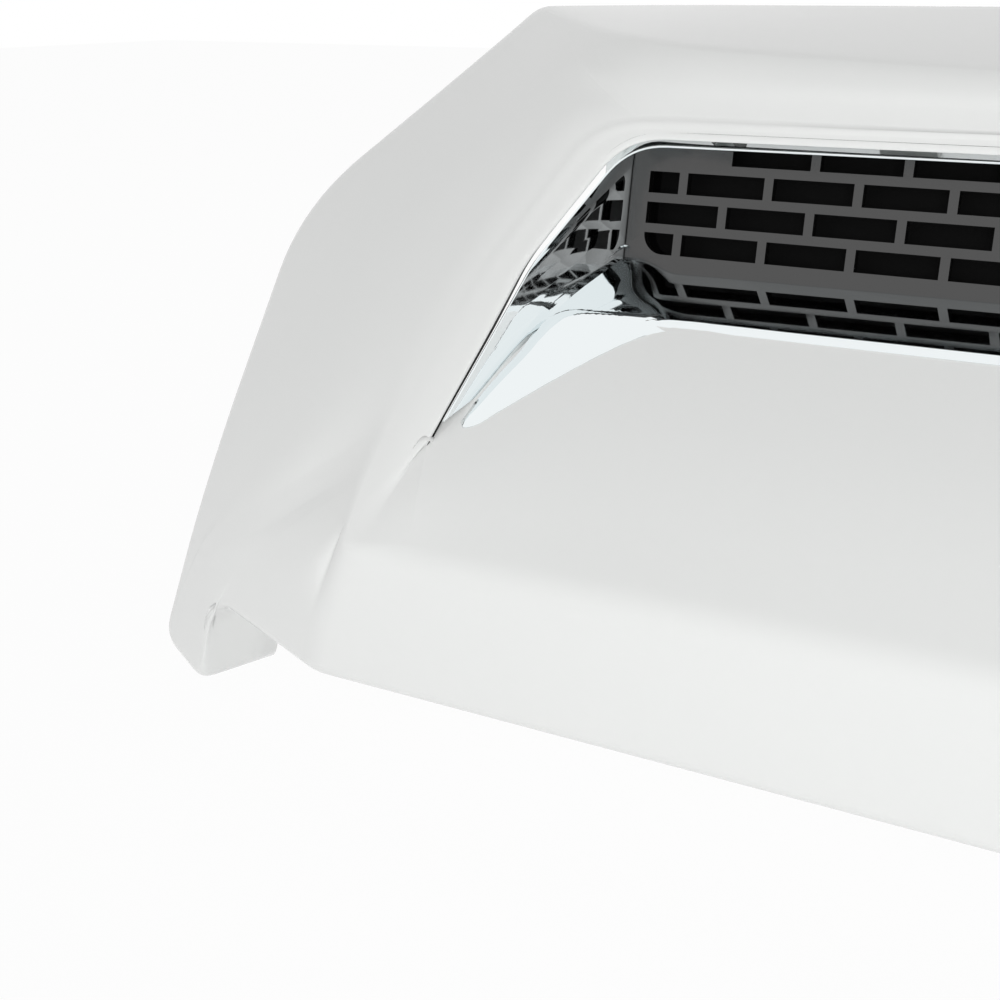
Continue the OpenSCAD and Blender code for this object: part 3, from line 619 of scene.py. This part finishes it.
def material(name, colour, rough, metallic=0.0, coat=0.0, ior=1.5):
    m = bpy.data.materials.new(name)
    m.use_nodes = True
    b = m.node_tree.nodes["Principled BSDF"]
    b.inputs["Base Color"].default_value = (*colour, 1)
    b.inputs["Roughness"].default_value = rough
    b.inputs["Metallic"].default_value = metallic
    b.inputs["Coat Weight"].default_value = coat
    b.inputs["Coat Roughness"].default_value = COAT_ROUGH
    b.inputs["IOR"].default_value = ior
    return m


def grained(m, size, height, rough, shade):
    """Unevenness of the given grain (mm) in relief, gloss and colour."""
    t = m.node_tree
    b = t.nodes["Principled BSDF"]
    place = t.nodes.new("ShaderNodeTexCoord")
    noise = t.nodes.new("ShaderNodeTexNoise")
    noise.inputs["Scale"].default_value = 1 / (size * MM)
    noise.inputs["Detail"].default_value = 3
    t.links.new(place.outputs["Object"], noise.inputs["Vector"])
    bump = t.nodes.new("ShaderNodeBump")
    bump.inputs["Distance"].default_value = height * MM
    t.links.new(noise.outputs[0], bump.inputs["Height"])
    t.links.new(bump.outputs["Normal"], b.inputs["Normal"])
    gloss = t.nodes.new("ShaderNodeMapRange")
    gloss.inputs["To Min"].default_value, gloss.inputs["To Max"].default_value = rough
    t.links.new(noise.outputs[0], gloss.inputs["Value"])
    t.links.new(gloss.outputs["Result"], b.inputs["Roughness"])
    tint = t.nodes.new("ShaderNodeMix")
    tint.data_type = "RGBA"
    full = tuple(b.inputs["Base Color"].default_value)
    tint.inputs[6].default_value = (*(c * shade for c in full[:3]), 1)
    tint.inputs[7].default_value = full
    t.links.new(noise.outputs[0], tint.inputs[0])
    t.links.new(tint.outputs[2], b.inputs["Base Color"])


paint = material("white_paint", (0.8, 0.81, 0.8), 0.35, coat=1.0)
bare = material("bare_moulding", (0.62, 0.63, 0.62), 0.5)
chrome = material("bright_plating", (0.86, 0.9, 0.91), 0.03, metallic=1.0)
black = material("black_plastic", (0.004, 0.004, 0.004), 0.2, ior=1.85)
# Near-black, matt and weakly reflective: painted shade for the shaded recesses behind the mesh bars and
# in the groove round the throat
shade_black = material("shaded_recess_black", (0.003, 0.003, 0.003), 0.6)
shade_black.node_tree.nodes["Principled BSDF"].inputs["Specular IOR Level"].default_value = 0.1
steel = material("dark_zinc", (0.3, 0.3, 0.31), 0.35, metallic=1.0)
zinc = material("zinc", (0.62, 0.6, 0.55), 0.3, metallic=1.0)
nylon = material("nylon", (0.72, 0.7, 0.64), 0.45)
foam = material("foam", (0.02, 0.02, 0.02), 0.9)

grained(paint, 4, 0.004, (0.3, 0.4), 0.99)
grained(bare, 1.5, 0.02, (0.4, 0.6), 0.95)
grained(chrome, 45, 0.02, (0.02, 0.05), 0.99)
grained(black, 0.9, 0.012, (0.16, 0.28), 0.8)
grained(shade_black, 1.2, 0.02, (0.5, 0.7), 0.8)
grained(steel, 0.8, 0.02, (0.25, 0.5), 0.75)
grained(zinc, 0.7, 0.02, (0.2, 0.45), 0.8)
grained(nylon, 1.2, 0.02, (0.35, 0.55), 0.93)
grained(foam, 0.9, 0.25, (0.85, 1.0), 0.4)


def plane_depth(a, b, y, inside=0.7 * WALL):
    """Height of a wall's middle at y, from two points of its outer face."""
    run = b - a
    lift = inside * math.hypot(run[1], run[2]) / abs(run[1])
    return a[2] + run[2] / run[1] * (y - a[1]) - lift


ROUND_SIDES = 32
BOSS_R, BOSS_BEVEL = 3.7, 0.5
TOWER_HALF, TOWER_DEEP, TOWER_LOW, TOWER_PITCH = 11, 8, -9, 60


def circle(n=ROUND_SIDES):
    return [2 * math.pi * k / n for k in range(n)]


def boss(x, up):
    """A screw boss from the mesh's plane forward into the wall."""
    a, b = (LIP[0], CREASE[0]) if up > 0 else (LIP[-1], CREASE[-1])
    rise = vec(0, 0, CROWN * arch(x))
    a, b = a + rise, b + rise
    ahead = on_mesh(0, 0, -1) - on_mesh(0, 0)
    side, high = vec(1, 0, 0), on_mesh(0, 1) - on_mesh(0, 0)
    root = on_mesh(x, up, -BEZEL_T - 2 * SEAT_GAP)
    rings = [[], [], []]
    for w in circle():
        spoke = math.cos(w) * side + math.sin(w) * high
        p = root + BOSS_R * spoke
        slope = (b[2] - a[2]) / (b[1] - a[1])
        away = plane_depth(a, b, p[1]) - p[2]
        rings[0].append(root + (BOSS_R - BOSS_BEVEL) * spoke)
        rings[1].append(p + BOSS_BEVEL * ahead)
        rings[2].append(p + ahead * away / (ahead[2] - slope * ahead[1]))
    points = [q * MM for ring in rings for q in ring]
    n = ROUND_SIDES
    faces = [tuple(range(n)), tuple(range(3 * n - 1, 2 * n - 1, -1))]
    for r in (0, n):
        faces += [(r + k, r + n + k, r + n + (k + 1) % n, r + (k + 1) % n) for k in range(n)]
    return points, [face[::-1] for face in faces]


def tower(x):
    """A tower under the top, for a stud or a clip."""
    a = EDGE[0] + TOP_BOW * arch(x)
    b = REAR[0]
    corners = [(-TOWER_HALF, -TOWER_DEEP), (TOWER_HALF, -TOWER_DEEP), (TOWER_HALF, 0), (-TOWER_HALF, 0)]
    points = [vec(x + dx, y, TOWER_LOW) * MM for dx, y in corners]
    points += [vec(x + dx, y, plane_depth(a, b, y)) * MM for dx, y in corners]
    return points, [(3, 2, 1, 0), (4, 5, 6, 7), (0, 1, 5, 4), (1, 2, 6, 5), (2, 3, 7, 6),
                    (3, 0, 4, 7)]


def joined(name, parts):
    points, faces = [], []
    for p, f in parts:
        faces += [tuple(len(points) + k for k in face) for face in f]
        points += list(p)
    return mesh_object(name, points, faces, False)


HOLE_FWD, HOLE_R, HOLE_REACH = 145.6, 3.5, 6
CHIN_HOLES = [at(x, HOLE_FWD, CHIN_LOW_DROP) for x in (300, 180, 60, -60, -180, -300)]


def drilled(piece, places):
    """Upright holes through the piece at the places."""
    points, faces = [], []
    for p in places:
        first = len(points)
        for dz in (-HOLE_REACH, HOLE_REACH):
            for w in circle():
                points.append((p + vec(HOLE_R * math.cos(w), HOLE_R * math.sin(w), dz)) * MM)
        ring = list(range(first, first + ROUND_SIDES))
        faces += [tuple(ring[::-1]), tuple(k + ROUND_SIDES for k in ring)]
        for k in range(ROUND_SIDES):
            a, b = ring[k], ring[(k + 1) % ROUND_SIDES]
            faces.append((a, b, b + ROUND_SIDES, a + ROUND_SIDES))
    tool = mesh_object("hole_tool", points, faces, False)
    cut = piece.modifiers.new("holes", "BOOLEAN")
    cut.operation, cut.solver, cut.object = "DIFFERENCE", "EXACT", tool
    whole = piece.evaluated_get(bpy.context.evaluated_depsgraph_get())
    piece.data = bpy.data.meshes.new_from_object(whole)
    piece.modifiers.clear()
    bpy.data.objects.remove(tool)


def dressed(piece, finish, node):
    """The piece rides on the root and stands for the node."""
    piece.data.materials.append(finish)
    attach(piece, "root")
    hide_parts(node)


# The painted shell, near-black on the flange round the throat as painted shade for the shaded groove
# behind the lip
shell = ring_mesh("painted_shell", skin, moved(skin, WALL))
shell.data.materials.append(paint)
shell.data.materials.append(shade_black)
across = skin.shape[1] - 1
for i in range(len(skin)):
    for face in (0, 1, 2 * across):
        shell.data.polygons[i * (2 * across + 2) + face].material_index = 1
drilled(shell, CHIN_HOLES)
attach(shell, "root")
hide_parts("outer_panel")
for name, parts in (("screw_bosses", [boss(x, up) for x, up in SCREWS]),
                    ("fixing_towers", [tower(TOWER_PITCH * k) for k in range(-5, 6)])):
    dressed(joined(name, parts), bare, "outer_panel")


def sunk(g, d):
    """The sheet's copy below it, for its thickness."""
    q = g.copy()
    q[:, :, 2] -= d
    return q


ROOF_EDGE_T, FLOOR_T = 0.7, 1.2
thick = np.linspace(BEZEL_T, ROOF_EDGE_T, roof.shape[1])
bezel = strip_mesh("bezel_roof", roof, moved_sheet(roof, thick[None, :, None]))
tray = strip_mesh("bezel_floor", low, sunk(low, FLOOR_T))
for piece in (bezel, tray):
    dressed(piece, chrome, "chrome_bezel")

MERGE, FLAT, SHARP, SHADE_SHARP = 1e-6, math.radians(2), math.radians(40), math.radians(35)


def softened(node, name, width):
    """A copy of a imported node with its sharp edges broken."""
    bm = bmesh.new()
    bm.from_mesh(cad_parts[node].data)
    bmesh.ops.remove_doubles(bm, verts=bm.verts, dist=MERGE)
    bmesh.ops.dissolve_limit(bm, angle_limit=FLAT, verts=bm.verts, edges=bm.edges)
    sharp = [e for e in bm.edges if e.is_manifold and e.calc_face_angle() > SHARP]
    bmesh.ops.bevel(bm, geom=sharp, offset=width * MM, segments=2, profile=0.6,
                    affect="EDGES", clamp_overlap=True)
    data = bpy.data.meshes.new(name)
    bm.to_mesh(data)
    bm.free()
    data.shade_smooth()
    data.set_sharp_from_angle(angle=SHADE_SHARP)
    obj = bpy.data.objects.new(name, data)
    scene.collection.objects.link(obj)
    return obj


EDGE_WIDTH, BAR_DEPTH = 0.45, 4.6
grille = softened("mesh_grille", "grille_mesh", EDGE_WIDTH)
dressed(grille, black, "mesh_grille")
# Faces deeper than BAR_DEPTH behind the mesh's front get the near-black matt finish: painted shade for
# the recesses between the bars
grille.data.materials.append(shade_black)
for f in grille.data.polygons:
    x, y, z = f.center
    forward, high = y / MM + MESH_FWD, z / MM + MESH_DROP
    if forward * math.cos(MESH_LEAN) - high * math.sin(MESH_LEAN) > BAR_DEPTH:
        f.material_index = 1

for node, m in (("grille_screws", steel),
                ("mounting_studs", zinc), ("push_clips", nylon), ("rear_seal", foam)):
    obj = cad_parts[node]
    obj.data.materials.clear()
    obj.data.materials.append(m)

# Stage: a pale floor and a world, both white to the camera and to reflections
REACH, FLOOR_Z = 6, -0.27
FLOOR_GLOW, WORLD_LIGHT = 0.95, 0.42
floor = mesh_object("floor", [(-REACH, -REACH, FLOOR_Z), (REACH, -REACH, FLOOR_Z),
                              (REACH, REACH, FLOOR_Z), (-REACH, REACH, FLOOR_Z)],
                    [(0, 1, 2, 3)], False)
floor_paint = material("floor", (0.9, 0.9, 0.9), 0.9)
floor.data.materials.append(floor_paint)
ft = floor_paint.node_tree
glow = ft.nodes.new("ShaderNodeEmission")
glow.inputs["Color"].default_value = (1, 1, 1, 1)
floor_mix = ft.nodes.new("ShaderNodeMixShader")


def looking_ray(tree):
    """1 for the camera, a reflection or a view through glass, which meet plain white."""
    path = tree.nodes.new("ShaderNodeLightPath")
    ray = tree.nodes.new("ShaderNodeMath")
    ray.operation = "MAXIMUM"
    tree.links.new(path.outputs["Is Camera Ray"], ray.inputs[0])
    both = tree.nodes.new("ShaderNodeMath")
    both.operation = "MAXIMUM"
    tree.links.new(path.outputs["Is Glossy Ray"], ray.inputs[1])
    tree.links.new(ray.outputs[0], both.inputs[0])
    tree.links.new(path.outputs["Is Transmission Ray"], both.inputs[1])
    return both.outputs[0]


ray = looking_ray(ft)
part = ft.nodes.new("ShaderNodeMath")
part.operation = "MULTIPLY"
part.inputs[1].default_value = FLOOR_GLOW
ft.links.new(ray, part.inputs[0])
ft.links.new(part.outputs[0], floor_mix.inputs[0])
ft.links.new(ft.nodes["Principled BSDF"].outputs[0], floor_mix.inputs[1])
ft.links.new(glow.outputs[0], floor_mix.inputs[2])
ft.links.new(floor_mix.outputs[0], ft.nodes["Material Output"].inputs["Surface"])

world = bpy.data.worlds.new("studio")
scene.world = world
world.use_nodes = True
wt = world.node_tree
base = wt.nodes["Background"]
base.inputs["Color"].default_value = (1, 1, 1, 1)
base.inputs["Strength"].default_value = WORLD_LIGHT
seen = wt.nodes.new("ShaderNodeBackground")
seen.inputs["Color"].default_value = (1, 1, 1, 1)
seen.inputs["Strength"].default_value = 1.0
blend_node = wt.nodes.new("ShaderNodeMixShader")
wt.links.new(looking_ray(wt), blend_node.inputs[0])
wt.links.new(base.outputs[0], blend_node.inputs[1])
wt.links.new(seen.outputs[0], blend_node.inputs[2])
wt.links.new(blend_node.outputs[0], wt.nodes["World Output"].inputs["Surface"])


def area(name, place, target, size, power):
    light = bpy.data.lights.new(name, "AREA")
    light.shape = "RECTANGLE"
    light.size, light.size_y = size
    light.energy = power
    obj = bpy.data.objects.new(name, light)
    scene.collection.objects.link(obj)
    obj.location = place
    obj.visible_glossy = False
    aim = Vector(target) - Vector(place)
    obj.rotation_euler = aim.to_track_quat("-Z", "Y").to_euler()


MIDDLE = (-0.2, -0.1, -0.1)
area("key_light", (0.9, -2.6, 0.1), MIDDLE, (0.7, 0.7), 26)
area("front_light", (0.0, -1.4, 0.3), MIDDLE, (0.7, 0.7), 5)
area("back_light", (0.0, 2.0, 0.0), MIDDLE, (1.2, 0.5), 26)

scene.view_settings.view_transform = "Standard"
